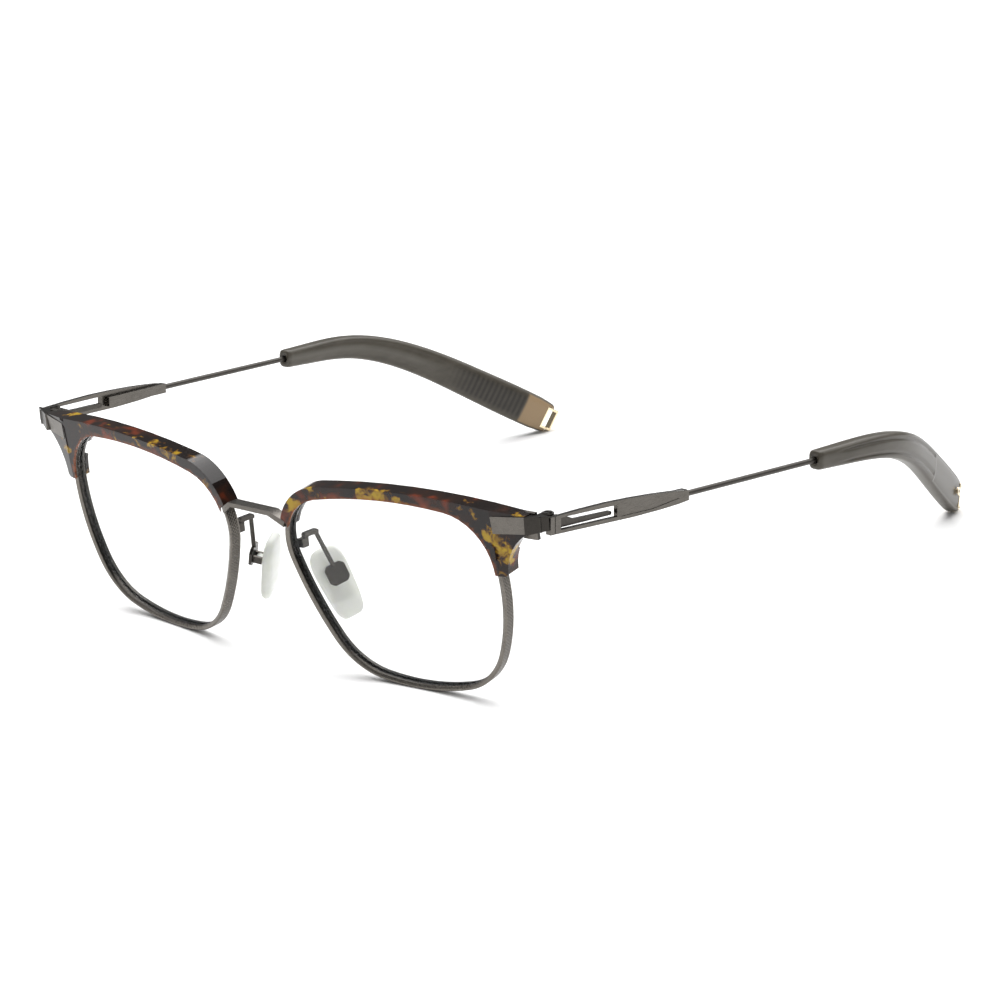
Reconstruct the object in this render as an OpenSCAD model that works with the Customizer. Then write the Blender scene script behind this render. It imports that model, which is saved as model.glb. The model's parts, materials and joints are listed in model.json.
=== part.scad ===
// Browline eyeglasses: metal rims under half-length acetate brow pieces, thin folding temples.
// The front faces -Y, +Z is up and the wearer's left side is +X.
// The frame stands open on its lower rims and on the ends of its temple tips.

/* [Front] */
// Half distance between the two lens centres
lens_x = 35.5; // [35:0.5:37]
// Height of the lens centres above the table
lens_z = 22.9; // [22.9:0.1:23.5]
// Forward lean of the lens plane, degrees
pantoscopic = 6.5; // [4:0.5:8]
// Turn of each lens plane round the face, degrees
wrap = 5.9; // [4:0.1:7]
// Depth of the rim from front to back
rim_depth = 2.4; // [2:0.1:2.8]
// Radial thickness of the rim
rim_wall = 1.05; // [0.9:0.05:1.3]
// Height of the bridge bar above the table
bridge_z = 33; // [32:0.5:34]
// Depth of the bridge bar from front to back
bridge_depth = 2.6; // [2:0.1:3.2]

/* [Brow] */
// Height of the brow's top edge above the lens centre
brow_top = 18.5; // [18.2:0.1:19]
// How far the brow stands in front of the rim
brow_front = 0.4; // [0.2:0.1:0.6]
// How far the brow reaches behind the rim's front face
brow_back = 3.2; // [3:0.1:3.6]

/* [Hinge] */
// Distance of each hinge axis from the middle of the frame
hinge_x = 68.7; // [68.7:0.1:69.2]
// Outer radius of the hinge knuckles
knuckle_r = 1.25; // [1.1:0.05:1.3]
// Radius of the hinge screw
hinge_pin_r = 0.65; // [0.5:0.05:0.7]
// Running clearance round the hinge screw
hinge_play = 0.05; // [0.03:0.01:0.08]

/* [Temple] */
// Thickness of the temple plate
plate_t = 1; // [0.8:0.1:1.1]
// Length of the temple plate
plate_len = 35.5; // [35:0.5:36]
// Diameter of the temple rod
rod_d = 1.15; // [1:0.05:1.3]
// Half width of the temple tip across the ear
tip_half_w = 1.9; // [1.7:0.1:2.1]
// Distance from the hinge axis to the end of the tip, front to back
tip_reach = 135.3; // [134:0.1:136]

/* [Nose pads] */
// Length of the pad
pad_len = 15; // [13.5:0.5:15.5]
// Width of the pad at its widest
pad_w = 8; // [7:0.5:8.5]
// Thickness of the pad
pad_t = 2.8; // [2.4:0.1:3]

/* [Hidden] */
$fn = 48;

// Colours of the materials
pewter = [0.36, 0.34, 0.31];
tortoise = [0.24, 0.11, 0.05];
clear = [0.86, 0.9, 0.92, 0.35];
silicone = [0.9, 0.92, 0.88, 0.7];
smoke = [0.4, 0.4, 0.38];
gold = [0.8, 0.64, 0.4];

// Moves the frame so that the middle of its box is over the origin
depth_shift = 68.132;
// Depth of the lens centre in the front's own layout
lens_y = -1.4;

// ---------- Lens outline, in the lens plane: u outward, v up ----------
// Sides as [direction of the side, distance from the centre, radius of its curve]
sides = [[-6, 24.35, 37], [92, 17.3, 110], [210.3, 25, 64], [272.6, 23, 51]];
// Radius of the corner that follows each side
corners = [12.3, 11.5, 15.7, 14.5];

function polar(r, a) = [r * cos(a), r * sin(a)];
function angle_of(p) = atan2(p[1], p[0]);
function arc(c, r, a0, a1, n) = [for (i = [0:n - 1]) c + polar(r, a0 + (a1 - a0) * i / n)];
function side_centre(i) = polar(sides[i][1] - sides[i][2], sides[i][0]);
// Centre of the corner that touches side i and the next one from inside
function corner_centre(i) =
    let (j = (i + 1) % 4, c1 = side_centre(i), d = side_centre(j) - c1, l = norm(d),
         r1 = sides[i][2] - corners[i], r2 = sides[j][2] - corners[i],
         x = (r1 * r1 - r2 * r2 + l * l) / (2 * l), y = sqrt(r1 * r1 - x * x),
         ex = d / l, ey = [-ex[1], ex[0]], out = polar(1, sides[i][0] + 45),
         p = c1 + ex * x + ey * y, q = c1 + ex * x - ey * y)
    p * out > q * out ? p : q;
function turn(a, b) = a + (b - a + 720) % 360;
function side_arc(i, grow) =
    let (c = side_centre(i), a0 = angle_of(corner_centre((i + 3) % 4) - c),
         a1 = turn(a0, angle_of(corner_centre(i) - c)))
    arc(c, sides[i][2] + grow, a0, a1, 8);
function corner_arc(i, grow) =
    let (c = corner_centre(i), a0 = angle_of(c - side_centre(i)),
         a1 = turn(a0, angle_of(c - side_centre((i + 1) % 4))))
    arc(c, corners[i] + grow, a0, a1, 8);
// The rim's outer outline, grown outward
function outline(grow) = [for (i = [0:3]) for (p = concat(side_arc(i, grow), corner_arc(i, grow))) p];

// ---------- Places ----------
module on_side(side) {
    translate([0, -depth_shift, 0])
        if (side > 0) children();
        else mirror([1, 0, 0]) children();
}
// Lens plane: x outward, y up, z forward from the rim's front face
module lens_plane() {
    translate([lens_x, lens_y, lens_z]) rotate([90 + pantoscopic, 0, wrap]) children();
}
// A layer of the lens plane between two heights
module layer(z0, z1) {
    translate([0, 0, z0]) linear_extrude(z1 - z0) children();
}
module rod_between(a, b, r) {
    d = b - a;
    translate(a) rotate([0, acos(d[2] / norm(d)), atan2(d[1], d[0])]) cylinder(r = r, h = norm(d));
}

// ---------- Rims and lenses ----------
groove_depth = 0.5;
groove_w = 0.9;
groove_mid = -rim_depth / 2;
// Height at which the rim is split so that the lens can be put in
split_v = 11.5;
split_gap = 0.2;

module rim(side) {
    color(pewter) on_side(side) lens_plane() difference() {
        layer(-rim_depth, 0) difference() {
            polygon(outline(0));
            polygon(outline(-rim_wall));
        }
        layer(groove_mid - groove_w / 2, groove_mid + groove_w / 2) polygon(outline(groove_depth - rim_wall));
        translate([18, split_v - split_gap / 2, -rim_depth - 1]) cube([10, split_gap, rim_depth + 2]);
    }
}

lens_r = 300;
lens_t = 1.4;
lens_play = 0.05;

module lens(side) {
    color(clear) on_side(side) lens_plane() {
        layer(groove_mid - groove_w / 2 + lens_play, groove_mid + groove_w / 2 - lens_play)
            polygon(outline(groove_depth - rim_wall - lens_play));
        intersection() {
            layer(-rim_depth - 1, 1) polygon(outline(-rim_wall - lens_play));
            translate([0, 0, 0.25 - lens_r]) difference() {
                sphere(r = lens_r, $fn = 240);
                sphere(r = lens_r - lens_t, $fn = 240);
            }
        }
    }
}

// ---------- Bridge ----------
bridge_half = 5.7;
bridge_front = -6.5;
bridge_h = 0.9;

// Foot of the bridge's leg at the rim: its inner, front and lower corner, and its size
leg_foot = [8.8, -5.2, 29.6];
leg_foot_size = [0.7, bridge_depth - 0.4, 1.1];

module bridge_leg(grow) {
    g = [grow, grow, grow];
    hull() {
        translate([bridge_half - 0.5, bridge_front, bridge_z - bridge_h] - g)
            cube([0.5, bridge_depth, bridge_h] + 2 * g);
        translate(leg_foot - g) cube(leg_foot_size + 2 * g);
    }
}
module bridge() {
    color(pewter) translate([0, -depth_shift, 0]) difference() {
        union() {
            translate([-bridge_half, bridge_front, bridge_z - bridge_h])
                cube([2 * bridge_half, bridge_depth, bridge_h]);
            bridge_leg(0);
            mirror([1, 0, 0]) bridge_leg(0);
        }
        for (m = [0, 1]) mirror([m, 0, 0]) lens_plane() layer(-6, 6) polygon(outline(0));
    }
}

// ---------- Brow ----------
// Top edge as a long curve that turns down over the nose, then the outer end
top_r = 200;
top_c = [8, brow_top - top_r];
nose_r = 12;
nose_turn = 97.5;
nose_c = top_c + polar(top_r - nose_r, nose_turn);
brow_end = 33.4;
wing_c = [36.2, 4.8];
wing_r = 10.1;
leg_tip = 4.6;

module brow_profile() {
    polygon(concat(
        arc([brow_end - 1.5, brow_top - 3], 1.5, 0, 84, 5),
        arc(top_c, top_r, 83, nose_turn, 16),
        arc(nose_c, nose_r, nose_turn, 164, 20),
        [[-25.6, 6.4], [0, 12], [12, 12], [23, leg_tip], [25.4, leg_tip], [wing_c[0] - wing_r, leg_tip + 0.5]],
        arc(wing_c, wing_r, 176, 105, 16)));
}
// Front plate of the end piece: it leans back from the brow and rises towards the hinge
plate_at = [24.2, 13.3, 0.45];
plate_h = 3.45;
plate_l = 7.4;
plate_back = 9.5;
plate_rise = 2.5;
// Where the brow's front starts to lean back, and by how much
lean_u = 24;
brow_lean = 10.5;
front_t = 0.6;
module plate_place() {
    translate(plate_at) rotate([0, plate_back, 0]) rotate([0, 0, plate_rise]) children();
}
module front_plate(grow) {
    plate_place() translate([-grow, -grow, -front_t])
        cube([plate_l + 3 * grow, plate_h + 2 * grow, front_t + grow]);
}
brow_screw_at = [28.5, 15.4];
brow_screw_r = 0.5;
lock_u = 22;
lock_w = 3.4;
lock_h = 4;
lock_front = -0.5;
bracket_back = -3.4;
bracket_t = 0.8;

module brow(side) {
    color(tortoise) on_side(side) difference() {
        lens_plane() difference() {
            layer(-brow_back, brow_front) brow_profile();
            layer(-brow_back - 1, brow_front + 1) polygon(outline(-rim_wall));
            layer(-rim_depth, 0) polygon(outline(0));
            // Outer end leaning back with the front plate, which is let into it
            translate([lean_u, 0, brow_front]) rotate([0, brow_lean, 0]) cube([20, 30, 5]);
            front_plate(0.02);
            // Seats of the bracket, its screw and the rim lock
            layer(-6, bracket_back + bracket_t) translate([lock_u, split_v - lock_h / 2 - 0.1]) square([20, 7.9]);
            translate([brow_screw_at[0], brow_screw_at[1], -5]) cylinder(r = brow_screw_r + 0.05, h = 6);
            layer(-6, lock_front + 0.1) translate([lock_u - 2, split_v - lock_h / 2 - 0.45])
                square([lock_w + 2.1, lock_h + 0.55]);
        }
        // Room for the end piece round the corner, and for the bridge where it meets the rim
        corner_wrap(0.1);
        corner_stop(0.2);
        bridge_leg(0.05);
    }
}

// ---------- End piece ----------
hinge_y = 4.7;
knuckle_z = [37.2, 38.15, 38.23, 39.02, 39.1, 40.05];
stop_y = 2.8;

// Side wrap: from the front plate's outer end back to the hinge, seen along its own plane
wrap_from = [66.65, 0.45];
wrap_to = [71, 2.55];
wrap_t = 1.1;
module corner_wrap(grow) {
    d = wrap_to - wrap_from;
    translate([wrap_from[0], wrap_from[1], 0]) rotate(angle_of(d)) translate([0, wrap_t + grow, 0])
        rotate([90, 0, 0]) linear_extrude(wrap_t + 2 * grow)
            polygon([[-grow, 36.45 - grow], [norm(d), 37.6 - grow], [norm(d), 40.3 + grow], [-grow, 39.95 + grow]]);
}
// Block behind the wrap that the temple closes against
module corner_stop(grow) {
    translate([66.8 - grow, 1.6 - grow, knuckle_z[0] - grow])
        cube([2.9 + grow, stop_y - 1.6 + 2 * grow, knuckle_z[5] - knuckle_z[0] + 2 * grow]);
}
module knuckle(i) {
    translate([hinge_x, hinge_y, knuckle_z[i]]) cylinder(r = knuckle_r, h = knuckle_z[i + 1] - knuckle_z[i]);
}
module end_piece(side) {
    color(pewter) on_side(side) difference() {
        union() {
            lens_plane() {
                front_plate(0);
                layer(bracket_back, bracket_back + bracket_t)
                    translate([lock_u + 2.2, split_v + 0.3]) square([8, 5.4]);
            }
            intersection() {
                corner_wrap(0);
                translate([60, -5, 30]) cube([20, 5 + stop_y, 20]);
            }
            corner_stop(0);
            for (i = [0, 4]) {
                knuckle(i);
                translate([hinge_x - 1.1, stop_y - 0.5, knuckle_z[i]])
                    cube([2, hinge_y - stop_y + 0.5, knuckle_z[i + 1] - knuckle_z[i]]);
            }
        }
        translate([hinge_x, hinge_y, 30]) cylinder(r = hinge_pin_r + hinge_play, h = 20);
        // Room for the temple's knuckle
        translate([hinge_x, hinge_y, knuckle_z[1]])
            cylinder(r = knuckle_r + 0.15, h = knuckle_z[4] - knuckle_z[1]);
        lens_plane() translate([brow_screw_at[0], brow_screw_at[1], -5]) cylinder(r = brow_screw_r, h = 4.6);
    }
}
module brow_screw(side) {
    color(pewter) on_side(side) lens_plane() translate([brow_screw_at[0], brow_screw_at[1], 0]) difference() {
        union() {
            translate([0, 0, bracket_back]) cylinder(r = brow_screw_r, h = -0.6 - bracket_back);
            translate([0, 0, bracket_back - 0.3]) cylinder(r = 0.9, h = 0.3);
        }
        translate([-1, -0.12, bracket_back - 1]) cube([2, 0.24, 0.85]);
    }
}
module hinge_screw(side) {
    top = knuckle_z[5];
    color(pewter) on_side(side) translate([hinge_x, hinge_y, 0]) difference() {
        union() {
            translate([0, 0, knuckle_z[0] - 0.15]) cylinder(r = hinge_pin_r, h = top - knuckle_z[0] + 0.15);
            translate([0, 0, top]) cylinder(r1 = 1.05, r2 = 0.95, h = 0.2);
        }
        translate([-2, -0.14, top + 0.05]) cube([4, 0.28, 1]);
    }
}

// ---------- Rim lock ----------
rim_screw_r = 0.45;
module rim_lock(side) {
    color(pewter) on_side(side) lens_plane() difference() {
        layer(bracket_back + bracket_t, lock_front) difference() {
            translate([lock_u, split_v - lock_h / 2]) square([lock_w, lock_h]);
            polygon(outline(0));
            // Slit that the screw closes; a thin web is left at its outer end
            translate([lock_u - 1, split_v - split_gap / 2]) square([lock_w + 0.8, split_gap]);
        }
        translate([lock_u + 2.5, 0, -1.5]) rotate([-90, 0, 0]) cylinder(r = rim_screw_r, h = 20);
    }
}
module rim_screw(side) {
    color(pewter) on_side(side) lens_plane()
        translate([lock_u + 2.5, split_v - lock_h / 2, -1.5]) rotate([-90, 0, 0]) difference() {
            union() {
                cylinder(r = rim_screw_r, h = lock_h);
                translate([0, 0, -0.35]) cylinder(r = 0.75, h = 0.35);
            }
            translate([-1, -0.1, -1]) cube([2, 0.2, 0.8]);
        }
}

// ---------- Nose pads ----------
// Point where the pad rocks on its arm, and the direction of the pad's length
pad_pivot = [10.9, 5.1, 17.3];
pad_up = [-0.363, -0.152, 0.919];
// Direction from the arm towards the nose, turned back by this angle
pad_splay = 25;
function unit(v) = v / norm(v);
function square_to(v, w) = unit(v - w * (v * w));
pad_z = unit(pad_up);
pad_n = square_to([-cos(pad_splay), sin(pad_splay), 0], pad_z);
pad_y = cross(pad_z, pad_n);
lug_t = 1;
lug_r = 0.75;
lug_play = 0.06;
pad_pin_r = 0.35;
pad_stand = 1.5;
pad_shift = 0;

// Frame at the pad's pivot: x towards the nose, z up along the pad
module pad_frame() {
    multmatrix([[pad_n[0], pad_y[0], pad_z[0], pad_pivot[0]],
                [pad_n[1], pad_y[1], pad_z[1], pad_pivot[1]],
                [pad_n[2], pad_y[2], pad_z[2], pad_pivot[2]],
                [0, 0, 0, 1]]) children();
}
function from_pad(p) = pad_pivot + pad_n * p[0] + pad_y * p[1] + pad_z * p[2];
arm_r = 0.45;
arm_foot = [9, -0.7, 25.9];
arm_turn = [9, 2.1, 27.2];
hook_w = 1;

module pad_arm(side) {
    neck = from_pad([-1.35, 0, 2.4]);
    color(pewter) on_side(side) difference() {
        union() {
            // Hook that rises from the foot and turns back, seen from the side
            translate([arm_foot[0] - hook_w / 2, 0, 0]) rotate([90, 0, 90]) linear_extrude(hook_w)
                polygon([[-1.1, 25.6], [-1.1, 27.35], [-0.8, 27.65], [2.3, 27.65], [2.65, 27.35], [2.65, 26.9],
                         [2.5, 26.7], [0, 26.75], [-0.2, 26.6], [-0.2, 25.6]]);
            rod_between(arm_turn, neck, arm_r);
            translate(arm_foot + [-0.65, -1.8, -1]) cube([1.3, 2.2, 1.8]);
            pad_frame() {
                translate([-1.65, 0, 0.7]) rotate([0, 90, 0]) linear_extrude(0.6) spade();
                for (y = [-1, 1]) translate([-1.1, y * (lug_t / 2 + lug_play + 0.25) - 0.25, -0.8])
                    cube([1.85, 0.5, 1.6]);
            }
        }
        pad_frame() rotate([90, 0, 0]) cylinder(r = pad_pin_r, h = 6, center = true);
        lens_plane() layer(-rim_depth, 1) polygon(outline(0));
    }
}
// Flat end of the pad arm: x points down the pad
module spade() {
    intersection() {
        translate([-2.1, -2.1]) square([4.2, 4.2]);
        circle(r = 2.45);
    }
}
module pad_screw(side) {
    l = lug_t + 2 * lug_play + 1;
    color(pewter) on_side(side) pad_frame() rotate([90, 0, 0]) {
        cylinder(r = pad_pin_r, h = l, center = true);
        translate([0, 0, l / 2]) cylinder(r = 0.6, h = 0.25);
    }
}
// Hard core moulded into the pad, with the lug that rocks between the arm's cheeks
insert_l = 8;
insert_w = 4;
insert_t = 0.8;
insert_drop = 1.3;
module insert_plate(grow) {
    translate([pad_stand - grow, 0, -insert_drop]) rotate([0, 90, 0]) linear_extrude(insert_t + 2 * grow)
        intersection() {
            square([insert_l + 2 * grow, insert_w + 2 * grow], center = true);
            circle(r = insert_l / 2 + grow);
        }
}
module pad_insert(side) {
    color(silicone) on_side(side) pad_frame() difference() {
        union() {
            insert_plate(0);
            rotate([90, 0, 0]) cylinder(r = lug_r, h = lug_t, center = true);
            translate([0, -lug_t / 2, -lug_r]) cube([pad_stand + 0.2, lug_t, 2 * lug_r]);
        }
        rotate([90, 0, 0]) cylinder(r = pad_pin_r + 0.04, h = 6, center = true);
    }
}
// One end of the pad: a disc with a softened edge
module pad_end(r, z) {
    translate([pad_stand - 0.2, pad_shift, z]) rotate([0, 90, 0]) {
        cylinder(r = r - 0.7, h = pad_t, $fn = 32);
        translate([0, 0, 0.6]) cylinder(r = r, h = pad_t - 1.4, $fn = 32);
    }
}
module nose_pad(side) {
    top_r = pad_w / 2;
    low_r = pad_w / 2 - 1;
    color(silicone) on_side(side) pad_frame() difference() {
        hull() {
            pad_end(top_r, pad_len / 2 - insert_drop - top_r);
            pad_end(low_r, -pad_len / 2 - insert_drop + low_r);
        }
        insert_plate(0);
        translate([0, -lug_t / 2, -lug_r]) cube([pad_stand + 0.2, lug_t, 2 * lug_r]);
    }
}

// ---------- Temple ----------
temple_z = 38.25;
temple_y = 2.92;
plate_x = 70.05;
splay = 4.75;
slope = 5.55;
window = [2.6, 16.8];
window_v = [-1, 1.28];

// Plate frame: x outward from the plate's inner face, y back along the plate, z up
module plate_frame() {
    translate([plate_x, temple_y, temple_z]) rotate([-slope, 0, -splay]) children();
}
// A shape drawn in the side view of the plate, between two distances from its inner face
module side_layer(x0, x1) {
    translate([x0, 0, 0]) rotate([90, 0, 90]) linear_extrude(x1 - x0) children();
}
module plate_side() {
    polygon([[0, -1.65], [0, 1.65], [7, 1.95], [14, 2.1], [20, 2], [26, 1.75], [31, 1.4], [34.4, 1.1],
             [plate_len, 0.75], [plate_len, -0.95], [33, -1.25], [28, -1.55], [21, -1.75], [12, -1.7]]);
}
module temple_plate(side) {
    color(pewter) on_side(side) difference() {
        plate_frame() difference() {
            union() {
                side_layer(0, plate_t) plate_side();
                side_layer(-0.3, 0.5) translate([0, -1.65]) square([0.9, 3.3]);
                side_layer(-1, 0.5) translate([window[1] + 1.4, -1]) square([plate_len - window[1] - 1.4, 2]);
            }
            side_layer(-2, 3) translate([window[0], window_v[0]])
                square([window[1] - window[0], window_v[1] - window_v[0]]);
            // Sunk panel behind the window, pointed at its rear end
            side_layer(plate_t - 0.15, 3) polygon([[17.8, 1.25], [17.8, -1.1], [26, -1.05], [33, -0.2], [26, 1.15]]);
            side_layer(plate_t - 0.12, 3) translate([1.05, -3]) square([0.18, 6]);
        }
        rod_body(0.02);
    }
}

// Rod from its seat in the plate to its end inside the tip
tip_y = 75;
tip_x0 = 74.3;
tip_z0 = 31.5;
rod_start = [72.75, 33.5, 35.3];
rod_end_y = 84;
function rod_at(y) = rod_start + ([tip_x0, tip_y, tip_z0] - rod_start) * (y - rod_start[1]) / (tip_y - rod_start[1]);

module rod_body(grow) {
    rod_between(rod_start, rod_at(rod_end_y), rod_d / 2 + grow);
}
module temple_rod(side) {
    color(pewter) on_side(side) rod_body(0);
}

// Leaf: knuckle, web and the slim blade behind the window
module hinge_leaf(side) {
    color(pewter) on_side(side) difference() {
        union() {
            knuckle(2);
            translate([hinge_x - 0.4, hinge_y, knuckle_z[2]])
                cube([plate_x - hinge_x + 1.2, 2.6, knuckle_z[3] - knuckle_z[2]]);
            plate_frame() side_layer(-0.75, -0.02) {
                polygon([[3.4, 1.15], [4.6, 1.1], [7, 0.2], [15.9, 0.1], [15.9, -0.7], [3.4, -0.9]]);
                translate([15.9, -0.3]) circle(r = 0.4);
            }
        }
        translate([hinge_x, hinge_y, 30]) cylinder(r = hinge_pin_r + hinge_play, h = 20);
        plate_frame() side_layer(0, 3) translate([-1, -3]) square([40, 6]);
    }
}

// ---------- Temple tip ----------
// Centre line: straight, then bending inward and down
bend_in = [84.4, 31.4, 0.46];
bend_down = [83.6, 39.6, 0.6115];
rise_out = 0.03;
fall = 0.096;
tip_end_y = hinge_y + tip_reach;
// Area under a slope that grows smoothly from 0 to 1 over a length of 1
function eased(t) = t < 0 ? 0 : t < 1 ? t * t * t - t * t * t * t / 2 : t - 0.5;
function eased_slope(t) = t < 0 ? 0 : t < 1 ? t * t * (3 - 2 * t) : 1;
function bent(y, b) = b[1] * b[2] * eased((y - b[0]) / b[1]);
function bent_slope(y, b) = b[2] * eased_slope((y - b[0]) / b[1]);
function tip_at(y) = [tip_x0 + rise_out * (y - tip_y) - bent(y, bend_in), y,
                      tip_z0 - fall * (y - tip_y) - bent(y, bend_down)];
function tip_dir(y) = unit([rise_out - bent_slope(y, bend_in), 1, -fall - bent_slope(y, bend_down)]);
// Half height of the tip along its length
function tip_half_h(y) = lookup(y, [[75, 1.95], [84, 2.2], [95, 2.55], [108, 3.05], [121, 3.6], [132, 3.9],
                                    [137, 3.8], [tip_end_y, 3.4]]);
// A ring of 16 points square to the centre line
ring_n = 16;
function soft(v) = sign(v) * pow(abs(v), 0.6);
function ring(y, w, h) =
    let (t = tip_dir(y), up = square_to([0, 0, 1], t), out = cross(t, up))
    [for (i = [0:ring_n - 1]) let (a = 360 * i / ring_n) tip_at(y) + out * (w * soft(cos(a))) + up * (h * soft(sin(a)))];
function band(a, b) = [for (i = [0:ring_n - 1]) let (j = (i + 1) % ring_n) [a + i, a + j, b + j, b + i]];
function band_back(a, b) = [for (f = band(a, b)) [f[3], f[2], f[1], f[0]]];

// Solid with closed ends through a list of rings given as [y, half width, half height]
module loft(stations) {
    n = len(stations);
    pts = [for (s = stations) for (p = ring(s[0], s[1], s[2])) p];
    polyhedron(points = pts, faces = concat(
        [for (k = [0:n - 2]) for (f = band(k * ring_n, (k + 1) * ring_n)) f],
        [[for (i = [ring_n - 1:-1:0]) i]],
        [[for (i = [0:ring_n - 1]) (n - 1) * ring_n + i]]));
}
// Sleeve with a through hole; each station adds the hole's half width and half height
module sleeve(stations) {
    n = len(stations);
    m = n * ring_n;
    pts = concat([for (s = stations) for (p = ring(s[0], s[1], s[2])) p],
                 [for (s = stations) for (p = ring(s[0], s[3], s[4])) p]);
    polyhedron(points = pts, faces = concat(
        [for (k = [0:n - 2]) for (f = band(k * ring_n, (k + 1) * ring_n)) f],
        [for (k = [0:n - 2]) for (f = band_back(m + k * ring_n, m + (k + 1) * ring_n)) f],
        band_back(0, m),
        band((n - 1) * ring_n, m + (n - 1) * ring_n)));
}

// Hole through the tip as [y, half width, half height]: rod, flat core, ribbed core, end block
holes = [[tip_y, 1, 0.9], [84, 1, 0.9], [84.4, 0.52, 1.32], [123.2, 0.52, 1.32], [123.6, 1, 2.3],
         [133.8, 1, 2.3], [134.2, 1.15, 3], [tip_end_y, 1.15, 3]];
function hole_w(y) = lookup(y, [for (h = holes) [h[0], h[1]]]);
function hole_h(y) = lookup(y, [for (h = holes) [h[0], h[2]]]);
function tip_w(y) = lookup(y, [[tip_y, tip_half_w - 0.2], [tip_y + 10, tip_half_w], [126, tip_half_w],
                               [131, tip_half_w + 0.15], [tip_end_y, tip_half_w]]);
tip_stations = concat([tip_y + 0.5, 79.5, 84, 84.4], [for (y = [87:2.5:122]) y], [123.2, 123.6, 126, 128.5, 131],
                      [133.8, 134.2, 137, tip_end_y - 0.8]);

// Frame at the end of the tip: x outward, y out of the end, z up
tip_end = tip_at(tip_end_y);
end_y = tip_dir(tip_end_y);
end_z = square_to([0, 0, 1], end_y);
end_x = cross(end_y, end_z);
module end_frame() {
    multmatrix([[end_x[0], end_y[0], end_z[0], tip_end[0]],
                [end_x[1], end_y[1], end_z[1], tip_end[1]],
                [end_x[2], end_y[2], end_z[2], tip_end[2]],
                [0, 0, 0, 1]]) children();
}
module box(x, y, z) {
    translate([x[0], y[0], z[0]]) cube([x[1] - x[0], y[1] - y[0], z[1] - z[0]]);
}
tip_screw_at = -4.6;
tip_screw_r = 0.5;
block_l = 7;
// Loop at the end: where it starts and ends along the tip, and its half height
loop_y = [-1.9, 1.4];
loop_z = 2.5;

module temple_tip(side) {
    color(smoke) on_side(side) difference() {
        sleeve(concat([[tip_y, tip_w(tip_y) - 0.3, tip_half_h(tip_y) - 0.3, hole_w(tip_y), hole_h(tip_y)]],
                      [for (y = tip_stations) [y, tip_w(y), tip_half_h(y), hole_w(y), hole_h(y)]],
                      [[tip_end_y, tip_half_w - 0.3, tip_half_h(tip_end_y) - 0.3, 1.15, 3 - 0.1]]));
        end_frame() {
            box([-4, 4], [loop_y[0] - 0.05, 2], [-loop_z - 0.05, loop_z + 0.05]);
            translate([0, tip_screw_at, 0]) rotate([0, 90, 0]) cylinder(r = tip_screw_r + 0.05, h = 6);
        }
    }
}
rib_pitch = 1;
ribs = [for (y = [124.2:rib_pitch:132.2]) y];
module tip_core(side) {
    color(pewter) on_side(side) loft(concat(
        [[84.05, 0.4, 0.75], [84.6, 0.45, 1.25]],
        [for (y = [88:4:120]) [y, 0.45, 1.25]],
        [[123.5, 0.45, 1.25]],
        [for (y = ribs) for (r = [[0, 0.5, 1.5], [0.1, 0.85, 2.1], [0.5, 0.85, 2.1], [0.6, 0.5, 1.5]])
            [y + r[0], r[1], r[2]]],
        [[133.5, 0.5, 1.5], [134.3, 0.5, 1.5]]));
}
module tip_cap(side) {
    color(gold) on_side(side) end_frame() difference() {
        union() {
            box([-0.9, 0.9], [-block_l, loop_y[0] + 0.1], [-loop_z, loop_z]);
            box([-1.75, 1.75], [loop_y[0], -0.15], [-loop_z, loop_z]);
            box([-1.1, 1.1], [-0.3, loop_y[1]], [-loop_z, loop_z]);
        }
        box([-4, 4], [loop_y[0] + 0.45, loop_y[1] - 0.45], [0.5 - loop_z, loop_z - 0.5]);
        translate([0, tip_screw_at, 0]) rotate([0, 90, 0]) cylinder(r = tip_screw_r, h = 6);
    }
}
module tip_screw(side) {
    face = tip_w(tip_end_y + tip_screw_at - 1) + 0.02;
    color(gold) on_side(side) end_frame() translate([0, tip_screw_at, 0]) rotate([0, 90, 0]) difference() {
        union() {
            cylinder(r = tip_screw_r, h = face);
            translate([0, 0, face]) cylinder(r = 0.95, h = 0.22);
        }
        translate([0, 0, face - 0.35]) cylinder(r = 0.4, h = 1, $fn = 6);
    }
}

rim(1);  // left_rim
rim(-1);  // right_rim
lens(1);  // left_lens
lens(-1);  // right_lens
bridge();
brow(1);  // left_brow
brow(-1);  // right_brow
end_piece(1);  // left_end_piece
end_piece(-1);  // right_end_piece
brow_screw(1);  // left_brow_screw
brow_screw(-1);  // right_brow_screw
rim_lock(1);  // left_rim_lock
rim_lock(-1);  // right_rim_lock
rim_screw(1);  // left_rim_screw
rim_screw(-1);  // right_rim_screw
hinge_screw(1);  // left_hinge_screw
hinge_screw(-1);  // right_hinge_screw
pad_arm(1);  // left_pad_arm
pad_arm(-1);  // right_pad_arm
pad_screw(1);  // left_pad_screw
pad_screw(-1);  // right_pad_screw
pad_insert(1);  // left_pad_insert
pad_insert(-1);  // right_pad_insert
nose_pad(1);  // left_nose_pad
nose_pad(-1);  // right_nose_pad
hinge_leaf(1);  // left_hinge_leaf
hinge_leaf(-1);  // right_hinge_leaf
temple_plate(1);  // left_temple_plate
temple_plate(-1);  // right_temple_plate
temple_rod(1);  // left_temple_rod
temple_rod(-1);  // right_temple_rod
tip_core(1);  // left_tip_core
tip_core(-1);  // right_tip_core
temple_tip(1);  // left_temple_tip
temple_tip(-1);  // right_temple_tip
tip_cap(1);  // left_tip_cap
tip_cap(-1);  // right_tip_cap
tip_screw(1);  // left_tip_screw
tip_screw(-1);  // right_tip_screw
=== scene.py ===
"""Looks of the browline eyeglasses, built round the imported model. Lengths in the part's layout are in mm."""

import json
import math

import bmesh
import bpy
from mathutils import Matrix, Vector


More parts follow.
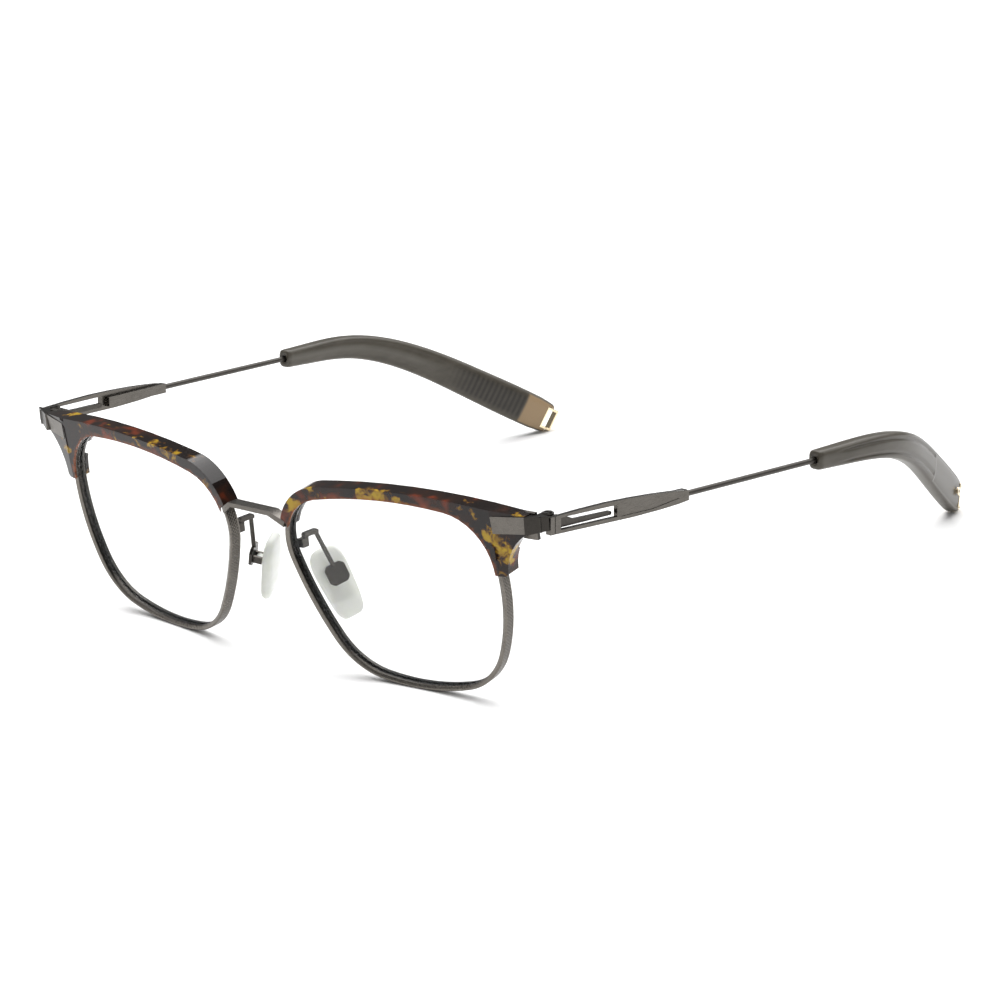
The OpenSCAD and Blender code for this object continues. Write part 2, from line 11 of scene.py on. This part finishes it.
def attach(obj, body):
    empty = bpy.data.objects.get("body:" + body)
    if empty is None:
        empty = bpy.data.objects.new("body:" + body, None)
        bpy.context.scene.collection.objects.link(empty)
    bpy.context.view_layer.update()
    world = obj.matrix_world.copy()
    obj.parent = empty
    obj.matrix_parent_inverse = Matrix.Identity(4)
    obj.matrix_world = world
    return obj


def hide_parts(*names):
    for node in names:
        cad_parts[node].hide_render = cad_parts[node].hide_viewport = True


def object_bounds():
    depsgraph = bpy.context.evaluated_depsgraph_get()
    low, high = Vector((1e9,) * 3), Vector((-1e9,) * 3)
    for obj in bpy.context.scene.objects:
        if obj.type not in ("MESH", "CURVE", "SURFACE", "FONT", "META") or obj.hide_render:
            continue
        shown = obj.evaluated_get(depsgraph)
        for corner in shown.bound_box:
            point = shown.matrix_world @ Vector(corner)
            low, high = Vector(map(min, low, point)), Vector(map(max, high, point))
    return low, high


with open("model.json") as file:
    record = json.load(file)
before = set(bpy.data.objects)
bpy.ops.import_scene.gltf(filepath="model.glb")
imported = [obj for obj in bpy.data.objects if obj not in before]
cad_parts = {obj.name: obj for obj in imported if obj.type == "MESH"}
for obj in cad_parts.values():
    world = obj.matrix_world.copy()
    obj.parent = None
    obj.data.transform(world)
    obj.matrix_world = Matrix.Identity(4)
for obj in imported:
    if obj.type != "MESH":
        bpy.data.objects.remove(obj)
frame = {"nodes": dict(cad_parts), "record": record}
NODES = frame["nodes"]
cad_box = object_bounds()

MM = 0.001
SIDES = {"left": 1, "right": -1}
# The layout's y = 0 lies this far in front of the frame's origin
DEPTH_SHIFT = 68.132


def place(p, side=1):
    """A point of the layout, in metres in the shared frame; side -1 mirrors it."""
    return Vector((p[0] * side, p[1] - DEPTH_SHIFT, p[2])) * MM


# ---------- Materials ----------
def material(name):
    mat = bpy.data.materials.new(name)
    mat.use_nodes = True
    return mat, mat.node_tree, mat.node_tree.nodes["Principled BSDF"]


def add(tree, kind, **values):
    """A node with its settings, and inputs given as in_NAME."""
    node = tree.nodes.new(kind)
    for key, value in values.items():
        if key.startswith("in_"):
            node.inputs[key[3:].replace("_", " ")].default_value = value
        else:
            setattr(node, key, value)
    return node


def coords(tree, stretch):
    """Object coordinates in mm, stretched along one axis."""
    tc = add(tree, "ShaderNodeTexCoord")
    mp = add(tree, "ShaderNodeMapping")
    mp.inputs["Scale"].default_value = [1000 * s for s in stretch]
    tree.links.new(tc.outputs["Object"], mp.inputs["Vector"])
    return mp.outputs["Vector"]


def noise(tree, vector, scale, detail=3, rough=0.5):
    n = add(tree, "ShaderNodeTexNoise", in_Scale=scale, in_Detail=detail, in_Roughness=rough)
    tree.links.new(vector, n.inputs["Vector"])
    return n.outputs["Fac"]


def ramp(tree, fac, stops):
    r = add(tree, "ShaderNodeValToRGB")
    el = r.color_ramp.elements
    el[0].position, el[0].color = stops[0][0], (*stops[0][1], 1)
    el[1].position, el[1].color = stops[-1][0], (*stops[-1][1], 1)
    for pos, col in stops[1:-1]:
        e = el.new(pos)
        e.color = (*col, 1)
    tree.links.new(fac, r.inputs["Fac"])
    return r.outputs["Color"]


def levels(tree, fac, low, high):
    m = add(tree, "ShaderNodeMapRange")
    m.inputs["To Min"].default_value, m.inputs["To Max"].default_value = low, high
    tree.links.new(fac, m.inputs["Value"])
    return m.outputs["Result"]


def bump(tree, bsdf, height, strength, distance):
    b = add(tree, "ShaderNodeBump", in_Strength=strength, in_Distance=distance)
    tree.links.new(height, b.inputs["Height"])
    tree.links.new(b.outputs["Normal"], bsdf.inputs["Normal"])


def mixed(tree, fac, a, b):
    m = add(tree, "ShaderNodeMix", data_type="RGBA")
    for socket, value in ((m.inputs["Factor"], fac), (m.inputs["A"], a), (m.inputs["B"], b)):
        if isinstance(value, (tuple, float)):
            socket.default_value = value
        else:
            tree.links.new(value, socket)
    return m.outputs["Result"]


def attribute(tree, name):
    return add(tree, "ShaderNodeAttribute", attribute_name=name).outputs["Fac"]


def brushed(name, dark, light, rough, stretch, shade=None):
    """Brushed metal: fine streaks along one direction over cloudy tarnish, darkened with painted shade where the
    shade attribute says.
    """
    mat, tree, bsdf = material(name)
    streaks = noise(tree, coords(tree, stretch), 6.0, 4, 0.6)
    cloud = noise(tree, coords(tree, (1, 1, 1)), 0.35, 3, 0.55)
    colour = mixed(tree, cloud, ramp(tree, streaks, [(0.3, dark), (0.7, light)]), (*light, 1))
    # Painted shade: mixes the colour toward near black by the shade attribute
    if shade:
        colour = mixed(tree, attribute(tree, shade), colour, (0.012, 0.011, 0.01, 1))
    tree.links.new(colour, bsdf.inputs["Base Color"])
    tree.links.new(levels(tree, streaks, rough - 0.06, rough + 0.1), bsdf.inputs["Roughness"])
    bsdf.inputs["Metallic"].default_value = 1
    bump(tree, bsdf, streaks, 0.12, 0.00003)
    return mat


PEWTER = brushed("pewter_front", (0.07, 0.064, 0.057), (0.15, 0.138, 0.124), 0.27, (0.08, 1, 1))
PEWTER_SIDE = brushed("pewter_temple", (0.06, 0.055, 0.049), (0.135, 0.125, 0.112), 0.25, (1, 0.06, 1))
DARK_METAL = brushed("dark_pewter", (0.035, 0.032, 0.029), (0.08, 0.074, 0.067), 0.3, (1, 1, 0.15))
# The end and rim metals take painted shade from their pieces' shade attribute
END_METAL = brushed("end_pewter", (0.07, 0.064, 0.057), (0.15, 0.138, 0.124), 0.27, (0.08, 1, 1), "shade")
RIM_METAL = brushed("rim_pewter", (0.07, 0.064, 0.057), (0.19, 0.174, 0.154), 0.26, (0.5, 0.5, 0.5), "shade")
GOLD = brushed("pale_gold", (0.62, 0.48, 0.3), (0.85, 0.72, 0.5), 0.16, (1, 1, 1))


def acetate():
    """Dark tortoiseshell: near black with amber and red-brown clouds, with a painted glow of light at its thin edges.
    """
    mat, tree, bsdf = material("tortoise_acetate")
    where = coords(tree, (1, 1, 1))
    warp = add(tree, "ShaderNodeVectorMath", operation="MULTIPLY_ADD")
    n = add(tree, "ShaderNodeTexNoise", in_Scale=0.5, in_Detail=2.0)
    tree.links.new(where, n.inputs["Vector"])
    tree.links.new(n.outputs["Color"], warp.inputs[0])
    warp.inputs[1].default_value = (3, 3, 3)
    tree.links.new(where, warp.inputs[2])
    amber = noise(tree, warp.outputs["Vector"], 0.19, 3, 0.5)
    shift = add(tree, "ShaderNodeMapping")
    shift.inputs["Location"].default_value = (31, 17, 53)
    tree.links.new(where, shift.inputs["Vector"])
    red = noise(tree, shift.outputs["Vector"], 0.16, 2, 0.55)
    base = ramp(tree, red, [(0.0, (0.004, 0.002, 0.0015)), (0.5, (0.008, 0.004, 0.003)),
                            (0.62, (0.022, 0.007, 0.003)), (0.76, (0.22, 0.032, 0.006))])
    blotch = ramp(tree, amber, [(0.0, (0, 0, 0)), (0.58, (0, 0, 0)), (0.64, (0.95, 0.95, 0.95))])
    yellow = ramp(tree, amber, [(0.58, (0.14, 0.04, 0.005)), (0.68, (0.42, 0.27, 0.012))])
    colour = mixed(tree, blotch, base, yellow)
    # Painted glow: amber-red colour where light would shine through the thin acetate at the lens opening
    edge = attribute(tree, "edge")
    colour = mixed(tree, edge, colour, (0.24, 0.06, 0.014, 1))
    tree.links.new(colour, bsdf.inputs["Base Color"])
    bsdf.inputs["Roughness"].default_value = 0.1
    bsdf.inputs["IOR"].default_value = 1.38
    bump(tree, bsdf, noise(tree, where, 0.8, 2), 0.03, 0.00005)
    return mat


def clear_lens():
    mat, tree, bsdf = material("clear_lens")
    tree.links.new(ramp(tree, noise(tree, coords(tree, (1, 1, 1)), 0.05),
                        [(0.3, (0.93, 0.96, 0.97)), (0.7, (0.97, 0.98, 0.98))]), bsdf.inputs["Base Color"])
    bsdf.inputs["Roughness"].default_value = 0.02
    bsdf.inputs["IOR"].default_value = 1.2
    bsdf.inputs["Alpha"].default_value = 0.025
    return mat


def silicone():
    mat, tree, bsdf = material("milky_silicone")
    cloud = noise(tree, coords(tree, (1, 1, 1)), 0.45, 3)
    colour = ramp(tree, cloud, [(0.3, (0.86, 0.88, 0.82)), (0.7, (0.93, 0.945, 0.9))])
    tree.links.new(colour, bsdf.inputs["Base Color"])
    bsdf.inputs["Roughness"].default_value = 0.3
    bsdf.inputs["Subsurface Weight"].default_value = 0.5
    bsdf.inputs["Subsurface Radius"].default_value = (0.003, 0.003, 0.0025)
    bsdf.inputs["Transmission Weight"].default_value = 0.3
    bsdf.inputs["IOR"].default_value = 1.4
    bump(tree, bsdf, noise(tree, coords(tree, (1, 1, 1)), 2.0, 3), 0.08, 0.00005)
    return mat


def smoke_tip():
    """Smoke grey tip: the flat core shows through as a paler stripe, and its ribs and end block near the end."""
    mat, tree, bsdf = material("smoke_tip")
    cloud = noise(tree, coords(tree, (1, 0.3, 1)), 0.5, 3)
    body = ramp(tree, cloud, [(0.3, (0.055, 0.048, 0.037)), (0.7, (0.078, 0.069, 0.055))])
    stripe = attribute(tree, "stripe")
    colour = mixed(tree, stripe, body, (0.13, 0.122, 0.104, 1))
    ribs = attribute(tree, "ribs")
    colour = mixed(tree, ribs, colour, (0.018, 0.015, 0.012, 1))
    block = attribute(tree, "block")
    colour = mixed(tree, block, colour, (0.3, 0.21, 0.12, 1))
    tree.links.new(colour, bsdf.inputs["Base Color"])
    tree.links.new(levels(tree, cloud, 0.28, 0.38), bsdf.inputs["Roughness"])
    bsdf.inputs["Specular IOR Level"].default_value = 0.3
    return mat


ACETATE, LENS, SILICONE, SMOKE = acetate(), clear_lens(), silicone(), smoke_tip()


# ---------- Mesh helpers ----------
def piece(name, bm, body, mat, replaces=(), sharp=35):
    """Makes an object from a bmesh, gives it a material and ties it to the frame."""
    bmesh.ops.recalc_face_normals(bm, faces=bm.faces)
    mesh = bpy.data.meshes.new(name)
    bm.to_mesh(mesh)
    bm.free()
    obj = bpy.data.objects.new(name, mesh)
    bpy.context.scene.collection.objects.link(obj)
    mesh.materials.append(mat)
    mesh.shade_smooth()
    mesh.set_sharp_from_angle(angle=math.radians(sharp))
    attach(obj, body)
    if replaces:
        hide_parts(*replaces)
    return obj


def body_of(node):
    return next(b for b, nodes in frame["record"]["behaviour"]["bodies"].items() if node in nodes)


def softened(node, mat, width, segments=3, marks=None):
    """A copy of a CAD node's shape with its sharp edges rounded by width, in mm."""
    bm = bmesh.new()
    bm.from_mesh(NODES[node].data)
    bmesh.ops.remove_doubles(bm, verts=bm.verts, dist=1e-6)
    bmesh.ops.dissolve_limit(bm, angle_limit=math.radians(1), verts=bm.verts, edges=bm.edges)
    sharp = [e for e in bm.edges if e.is_manifold and e.calc_face_angle() > math.radians(32)]
    bmesh.ops.bevel(bm, geom=sharp, offset=width * MM, segments=segments, profile=0.5, affect="EDGES",
                    clamp_overlap=True)
    if marks:
        marks(bm)
    obj = piece(node + "_shape", bm, body_of(node), mat, (node,))
    even = obj.modifiers.new("normals", "WEIGHTED_NORMAL")
    even.keep_sharp = True
    return obj


def carve(obj, cut):
    """Cuts a closed bmesh out of an object's mesh."""
    mesh = bpy.data.meshes.new("cut")
    cut.to_mesh(mesh)
    cut.free()
    tool = bpy.data.objects.new("cut", mesh)
    bpy.context.scene.collection.objects.link(tool)
    mod = obj.modifiers.new("cut", "BOOLEAN")
    mod.operation, mod.solver, mod.object = "DIFFERENCE", "EXACT", tool
    result = bpy.data.meshes.new_from_object(obj.evaluated_get(bpy.context.evaluated_depsgraph_get()))
    obj.modifiers.remove(mod)
    obj.data = result
    bpy.data.objects.remove(tool)


def block(place_at, axes, low, high):
    """A box between two corners of its own axes, in the layout."""
    bm = bmesh.new()
    bmesh.ops.create_cube(bm, size=1)
    for v in bm.verts:
        local = [low[i] + (high[i] - low[i]) * (v.co[i] + 0.5) for i in range(3)]
        v.co = sum((axes[i] * local[i] for i in range(3)), place_at.copy())
    return bm


def band(bm, a, b):
    """Joins two rings of the same length with faces."""
    n = len(a)
    for i in range(n):
        j = (i + 1) % n
        bm.faces.new((a[i], a[j], b[j], b[i]))


# ---------- Lens outline, in the lens plane ----------
OUT_SIDES = [(-6, 24.35, 37), (92, 17.3, 110), (210.3, 25, 64), (272.6, 23, 51)]
OUT_CORNERS = [12.3, 11.5, 15.7, 14.5]
LENS_CENTRE = (35.5, -1.4, 22.9)
PANTOSCOPIC, WRAP = 6.5, 5.9
RIM_DEPTH, RIM_WALL = 2.4, 1.05


def polar(r, a):
    return Vector((r * math.cos(math.radians(a)), r * math.sin(math.radians(a))))


def angle_of(p):
    return math.degrees(math.atan2(p[1], p[0]))


def turn(a, b):
    return a + (b - a + 720) % 360


def side_centre(i):
    return polar(OUT_SIDES[i][1] - OUT_SIDES[i][2], OUT_SIDES[i][0])


def corner_centre(i):
    """Centre of the corner that touches side i and the next one from inside."""
    j = (i + 1) % 4
    c = side_centre(i)
    d = side_centre(j) - c
    r1, r2, l = OUT_SIDES[i][2] - OUT_CORNERS[i], OUT_SIDES[j][2] - OUT_CORNERS[i], d.length
    x = (r1 * r1 - r2 * r2 + l * l) / (2 * l)
    y = math.sqrt(r1 * r1 - x * x)
    ex = d / l
    ey = Vector((-ex[1], ex[0]))
    out = polar(1, OUT_SIDES[i][0] + 45)
    return max((c + ex * x + ey * y, c + ex * x - ey * y), key=lambda p: p @ out)


def outline(count):
    """Points of the rim's outer outline, evenly spaced, each with its outward direction."""
    arcs = []
    for i in range(4):
        j = (i + 1) % 4
        cs, before, after = side_centre(i), corner_centre((i + 3) % 4), corner_centre(i)
        a0 = angle_of(before - cs)
        arcs.append((cs, OUT_SIDES[i][2], a0, turn(a0, angle_of(after - cs))))
        a0 = angle_of(after - cs)
        arcs.append((after, OUT_CORNERS[i], a0, turn(a0, angle_of(after - side_centre(j)))))
    lengths = [math.radians(a1 - a0) * r for _, r, a0, a1 in arcs]
    step, points = sum(lengths) / count, []
    for k in range(count):
        s, n = k * step, 0
        while s > lengths[n]:
            s -= lengths[n]
            n += 1
        c, r, a0, _ = arcs[n]
        out = polar(1, a0 + math.degrees(s / r))
        points.append((c + out * r, out, k * step))
    return points


def lens_matrix():
    return Matrix.Translation(LENS_CENTRE) @ Matrix.Rotation(math.radians(WRAP), 4, "Z") \
        @ Matrix.Rotation(math.radians(90 + PANTOSCOPIC), 4, "X")


LENS_PLANE = lens_matrix()


def on_lens(u, v, n, side):
    return place(LENS_PLANE @ Vector((u, v, n)), side)


# ---------- Rims: polished bevel in front, knurled outer wall, painted shade inside and in the knurl ---
def rim(name, side):
    pitch, deep, stations = 0.72, 0.09, 1500
    rows = [-0.3 - 0.09 * i for i in range(20)]
    front = [(-0.02, -0.22), (-0.1, -0.06), (-0.2, 0), (-0.42, 0), (-0.5, -0.04), (-0.9, -0.16),
             (-1.0, -0.22), (-1.05, -0.32), (-1.05, -0.72), (-0.62, -0.78), (-0.62, -1.62), (-1.05, -1.68),
             (-1.05, -2.26), (-0.98, -2.37), (-0.86, -2.4), (-0.2, -2.4), (-0.08, -2.36), (-0.02, -2.24),
             (-0.02, -2.02)]
    points = outline(stations)
    bm = bmesh.new()
    shade = bm.verts.layers.float.new("shade")
    rings = []
    for p, out, s in points:
        ring = []
        for r, n in front:
            q = p + out * r
            ring.append(bm.verts.new(on_lens(q[0], q[1], n, side)))
            # Painted shade on the inner wall and the lens groove
            ring[-1][shade] = 0.85 if r < -0.55 and -2.3 < n < -0.3 else 0.0
        for n in reversed(rows):
            a, b = math.cos(2 * math.pi * (s + n) / pitch), math.cos(2 * math.pi * (s - n) / pitch)
            low = 0.5 - 0.25 * (a + b)
            q = p - out * deep * low
            ring.append(bm.verts.new(on_lens(q[0], q[1], n, side)))
            # Painted shade in the knurl's valleys, deepest where the knurl is lowest
            ring[-1][shade] = 0.75 * low
        rings.append(ring)
    for k in range(len(rings)):
        band(bm, rings[k], rings[(k + 1) % len(rings)])
    return piece(name + "_rim_knurled", bm, "front", RIM_METAL, (name + "_rim",), 40)


# ---------- Nose pads: soft convex pads round their clear core ----------
PAD_PIVOT = Vector((10.9, 5.1, 17.3))
PAD_UP = Vector((-0.363, -0.152, 0.919)).normalized()
PAD_SPLAY = math.radians(25)


def pad_matrix():
    z = PAD_UP
    v = Vector((-math.cos(PAD_SPLAY), math.sin(PAD_SPLAY), 0))
    x = (v - z * (v @ z)).normalized()
    y = z.cross(x)
    m = Matrix((x, y, z)).transposed().to_4x4()
    m.translation = PAD_PIVOT
    return m


PAD = pad_matrix()


def nose_pad(name, side):
    """A rounded slab: wide above, narrower below, its front bulging towards the nose."""
    half_l, top_w, low_w, thick, drop, back = 7.45, 3.9, 2.95, 2.3, 1.3, 1.35
    around, crown_top = 48, 0.22
    bm = bmesh.new()

    def ring(f, x, crown):
        pts = []
        for i in range(around):
            a = 2 * math.pi * i / around
            c, s = math.cos(a), math.sin(a)
            power = 0.62 if s > 0 else 0.45
            soft_c = math.copysign(abs(c) ** power, c)
            soft_s = math.copysign(abs(s) ** power, s)
            z = half_l * f * soft_s
            w = low_w + (top_w - low_w) * (z / half_l + 1) / 2
            y = w * f * soft_c
            bulge = crown * (1 - (z / half_l) ** 2)
            q = PAD @ Vector((x + bulge, y, z - drop))
            pts.append(bm.verts.new(place(q, side)))
        return pts
    profile = [(0.35, 0.02), (0.8, 0.03), (0.9, 0.12), (0.96, 0.35), (1.0, 0.8), (1.0, 1.25), (0.97, 1.7),
               (0.91, 2.0), (0.8, 2.2), (0.6, 2.34), (0.35, 2.42), (0.12, 2.45)]
    top = profile[-1][1]
    rings = [ring(f, back + t * thick / top, crown_top * t / top) for f, t in profile]
    for a, b in zip(rings, rings[1:]):
        band(bm, a, b)
    bm.faces.new(list(reversed(rings[0])))
    bm.faces.new(rings[-1])
    return piece(name + "_nose_pad_soft", bm, name + "_pad", SILICONE, (name + "_nose_pad",), 60)


# ---------- Temple tips ----------
TIP_Y, TIP_X0, TIP_Z0, TIP_END = 75.0, 74.3, 31.5, 140.0
RISE_OUT, FALL = 0.03, 0.096
BEND_IN, BEND_DOWN = (84.4, 31.4, 0.46), (83.6, 39.6, 0.6115)
TIP_HALF_W = 1.9


def eased(t):
    return 0 if t < 0 else t ** 3 - t ** 4 / 2 if t < 1 else t - 0.5


def eased_slope(t):
    return 0 if t < 0 else t * t * (3 - 2 * t) if t < 1 else 1


def lookup(x, table):
    if x <= table[0][0]:
        return table[0][1]
    for (x0, y0), (x1, y1) in zip(table, table[1:]):
        if x <= x1:
            return y0 + (y1 - y0) * (x - x0) / (x1 - x0)
    return table[-1][1]


def tip_at(y):
    bent = [b[1] * b[2] * eased((y - b[0]) / b[1]) for b in (BEND_IN, BEND_DOWN)]
    return Vector((TIP_X0 + RISE_OUT * (y - TIP_Y) - bent[0], y, TIP_Z0 - FALL * (y - TIP_Y) - bent[1]))


def tip_dir(y):
    bent = [b[2] * eased_slope((y - b[0]) / b[1]) for b in (BEND_IN, BEND_DOWN)]
    return Vector((RISE_OUT - bent[0], 1, -FALL - bent[1])).normalized()


HALF_H = [(75, 1.95), (84, 2.2), (95, 2.55), (108, 3.05), (121, 3.6), (132, 3.9), (137, 3.8), (TIP_END, 3.4)]


def half_h(y):
    """Half height of the tip, smoothed between its measured stations."""
    return sum(lookup(y + d, HALF_H) for d in (-3, -1.5, 0, 1.5, 3)) / 5 if 79 < y < 134 else lookup(y, HALF_H)


def smooth(x, a, b):
    t = min(1, max(0, (x - a) / (b - a)))
    return t * t * (3 - 2 * t)


def temple_tip(name, side):
    around, ledge = 72, 121.5
    groove_at, groove_w, groove_deep = 0.52, 0.11, 0.34
    ridge_at, ridge_w, ridge_high = 0.55, 0.16, 0.12
    paddle_deep = 0.22
    rib_from, block_from = 124.45, 133.9
    bm = bmesh.new()
    marks = {k: bm.verts.layers.float.new(k) for k in ("stripe", "ribs", "block")}

    def ring(y, inset=0.0, hole=None):
        t, up = tip_dir(y), Vector((0, 0, 1))
        up = (up - t * (up @ t)).normalized()
        out = t.cross(up)
        c, w, h = tip_at(y), TIP_HALF_W - inset, half_h(y) - inset
        w -= 0.2 * (1 - smooth(y, 75, 85))
        pts = []
        for i in range(around):
            a = 2 * math.pi * i / around
            ca, sa = math.cos(a), math.sin(a)
            x = math.copysign(abs(ca) ** 0.6, ca)
            z = math.copysign(abs(sa) ** 0.6, sa)
            if hole:
                p = c + out * hole[0] * ca + up * hole[1] * sa
            else:
                groove = math.exp(-((abs(z) - groove_at) / groove_w) ** 2)
                run = smooth(y, 79, 86) * (1 - smooth(y, ledge - 1.2, ledge))
                face = smooth(x, 0.35, 0.8)
                dip = groove_deep * groove * run * face
                paddle = paddle_deep * smooth(y, ledge - 0.6, ledge + 0.2) * face \
                    * (1 - smooth(abs(z), 0.78, 0.95))
                inner = ridge_high * math.exp(-((abs(z) - ridge_at) / ridge_w) ** 2) \
                    * smooth(-x, 0.35, 0.8) * smooth(y, 79, 88) * (1 - smooth(y, 112, 118))
                p = c + out * (x * w - dip - paddle + inner) + up * (z * h)
            v = bm.verts.new(place(p, side))
            if not hole:
                inside = smooth(-x, 0.2, 0.7)
                flat = math.exp(-(z / 0.34) ** 2) * (1 - smooth(y, 110, 119))
                v[marks["stripe"]] = 0.55 * flat * (0.35 + 0.65 * inside)
                rib = 0.5 + 0.5 * math.cos(2 * math.pi * (y - rib_from))
                core = smooth(y, 116, 124) * (1 - smooth(y, 133.6, 134.1))
                v[marks["ribs"]] = inside * core * (1 - smooth(abs(z), 0.5, 0.85)) * (0.35 + 0.65 * rib)
                v[marks["block"]] = inside * smooth(y, block_from, block_from + 0.5) * (1 - smooth(abs(z), 0.8, 0.95))
            pts.append(v)
        return pts
    stations = [TIP_Y + 0.9 + 0.25 * k for k in range(int((TIP_END - TIP_Y - 1.8) / 0.25) + 1)]
    rings = [ring(TIP_Y + 2.5, hole=(0.66, 0.66)), ring(TIP_Y + 0.15, hole=(0.68, 0.68)),
             ring(TIP_Y + 0.02, hole=(0.85, 0.85)), ring(TIP_Y + 0.02, 0.42), ring(TIP_Y + 0.1, 0.22),
             ring(TIP_Y + 0.32, 0.06)]
    rings += [ring(y) for y in stations]
    rings += [ring(TIP_END - 0.45, 0.06), ring(TIP_END - 0.15, 0.22), ring(TIP_END, 0.5)]
    for a, b in zip(rings, rings[1:]):
        band(bm, a, b)
    bm.faces.new(list(reversed(rings[0])))
    bm.faces.new(rings[-1])
    tip = piece(name + "_temple_tip_smoke", bm, name + "_temple", SMOKE, (name + "_temple_tip",), 180)
    # Notch that the end loop sits in
    along = tip_dir(TIP_END)
    up = (Vector((0, 0, 1)) - along * along[2]).normalized()
    cut = block(tip_at(TIP_END), (along.cross(up), along, up), (-4, -1.95, -2.55), (4, 3, 2.55))
    for v in cut.verts:
        v.co = place(v.co, side)
    bmesh.ops.recalc_face_normals(cut, faces=cut.faces)
    carve(tip, cut)
    return tip


# ---------- Brow: polished edges, with a painted glow where the acetate is thin ---
def brow_marks(side):
    inverse = LENS_PLANE.inverted()
    edge_points = [(p - out * RIM_WALL) for p, out, _ in outline(240)]

    def mark(bm):
        for axis in (0, 1):
            for k in range(-26, 34):
                at, ahead = Vector((0, 0, 0)), Vector((0, 0, 0))
                at[axis], ahead[axis] = k, k + 1.0
                at, ahead = on_lens(*at, side), on_lens(*ahead, side)
                geom = bm.verts[:] + bm.edges[:] + bm.faces[:]
                bmesh.ops.bisect_plane(bm, geom=geom, plane_co=at, plane_no=ahead - at)
        layer = bm.verts.layers.float.new("edge")
        for v in bm.verts:
            co = v.co / MM
            q = inverse @ Vector((co[0] * side, co[1] + DEPTH_SHIFT, co[2]))
            near = min((Vector((q[0], q[1])) - e).length for e in edge_points)
            # Strength of the painted glow, highest right at the lens opening on the front face
            v[layer] = 0.8 * (1 - smooth(near, 0.1, 0.42)) if q[2] > -0.6 else 0.0
    return mark


def bend_marks(bm):
    """The side wrap, beyond the front plate's bend line, is darkened with painted shade."""
    bend_x = 66.8
    shade = bm.faces.layers.float.new("shade")
    for f in bm.faces:
        f[shade] = 0.75 if abs(f.calc_center_median()[0]) > bend_x * MM else 0.0


for name, side in SIDES.items():
    rim(name, side)
    nose_pad(name, side)
    temple_tip(name, side)
    softened(name + "_brow", ACETATE, 0.4, 4, brow_marks(side))
    softened(name + "_end_piece", END_METAL, 0.1, marks=bend_marks)
    softened(name + "_temple_plate", PEWTER_SIDE, 0.1)
    softened(name + "_hinge_leaf", DARK_METAL, 0.08)
    softened(name + "_pad_arm", DARK_METAL, 0.1)
    softened(name + "_tip_cap", GOLD, 0.12)
    softened(name + "_temple_rod", DARK_METAL, 0.05)
softened("bridge", PEWTER, 0.18)

NODE_MATERIALS = {"lens": LENS, "brow_screw": DARK_METAL, "rim_lock": DARK_METAL, "rim_screw": DARK_METAL,
                  "hinge_screw": DARK_METAL, "pad_screw": DARK_METAL, "pad_insert": SILICONE,
                  "tip_core": DARK_METAL, "tip_screw": GOLD}
for node, obj in NODES.items():
    for ending, mat in NODE_MATERIALS.items():
        if node.endswith(ending):
            for s in obj.material_slots:
                s.material = mat


# ---------- Floor, light and camera ----------
def floor():
    bm = bmesh.new()
    half = 6.0
    bmesh.ops.create_grid(bm, x_segments=8, y_segments=8, size=half)
    mesh = bpy.data.meshes.new("floor")
    bm.to_mesh(mesh)
    bm.free()
    obj = bpy.data.objects.new("floor", mesh)
    obj.location.z = cad_box[0][2]
    bpy.context.scene.collection.objects.link(obj)
    mat, _, bsdf = material("studio_floor")
    bsdf.inputs["Base Color"].default_value = (0.94, 0.94, 0.94, 1)
    bsdf.inputs["Roughness"].default_value = 0.9
    bsdf.inputs["Specular IOR Level"].default_value = 0
    mesh.materials.append(mat)


def softbox(name, place_at, aim, size, power):
    light = bpy.data.lights.new(name, "AREA")
    light.shape, light.size, light.size_y, light.energy = "RECTANGLE", size[0], size[1], power
    obj = bpy.data.objects.new(name, light)
    obj.location = place_at
    obj.rotation_euler = (Vector(aim) - Vector(place_at)).to_track_quat("-Z", "Y").to_euler()
    bpy.context.scene.collection.objects.link(obj)


def camera():
    azimuth, elevation, roll = (math.radians(a) for a in (44.296, 17.696, -4.439))
    distance, focal, across, height = 782.703, 3.986182, 44.008, 27.582
    back = Vector((math.sin(azimuth) * math.cos(elevation), -math.cos(azimuth) * math.cos(elevation),
                   math.sin(elevation)))
    level = Vector((math.cos(azimuth), math.sin(azimuth), 0))
    above = back.cross(level)
    right = level * math.cos(roll) + above * math.sin(roll)
    up = above * math.cos(roll) - level * math.sin(roll)
    data = bpy.data.cameras.new("camera")
    data.sensor_width = 36
    data.lens = focal * data.sensor_width
    data.clip_start, data.clip_end = 0.01, 50
    obj = bpy.data.objects.new("camera", data)
    matrix = Matrix((right, up, back)).transposed().to_4x4()
    matrix.translation = place(back * distance + level * across + above * height)
    obj.matrix_world = matrix
    bpy.context.scene.collection.objects.link(obj)
    bpy.context.scene.camera = obj


floor()
softbox("top_box", (-0.25, 0.35, 1.3), (0, 0.15, 0), (1.7, 1.7), 36)
softbox("back_box", (0.3, 1.5, 1.0), (0, 0.6, 0), (2.0, 0.8), 10)
softbox("left_box", (-0.9, -0.5, 0.6), (0, 0, 0.02), (0.4, 0.4), 1.2)
softbox("right_box", (1.0, -0.35, 0.5), (0, 0, 0.02), (0.3, 0.4), 1.2)
world = bpy.data.worlds.new("studio")
bpy.context.scene.world = world
world.use_nodes = True
world.node_tree.nodes["Background"].inputs["Color"].default_value = (1, 1, 1, 1)
world.node_tree.nodes["Background"].inputs["Strength"].default_value = 0.2
bpy.context.scene.view_settings.view_transform = "Standard"
camera()
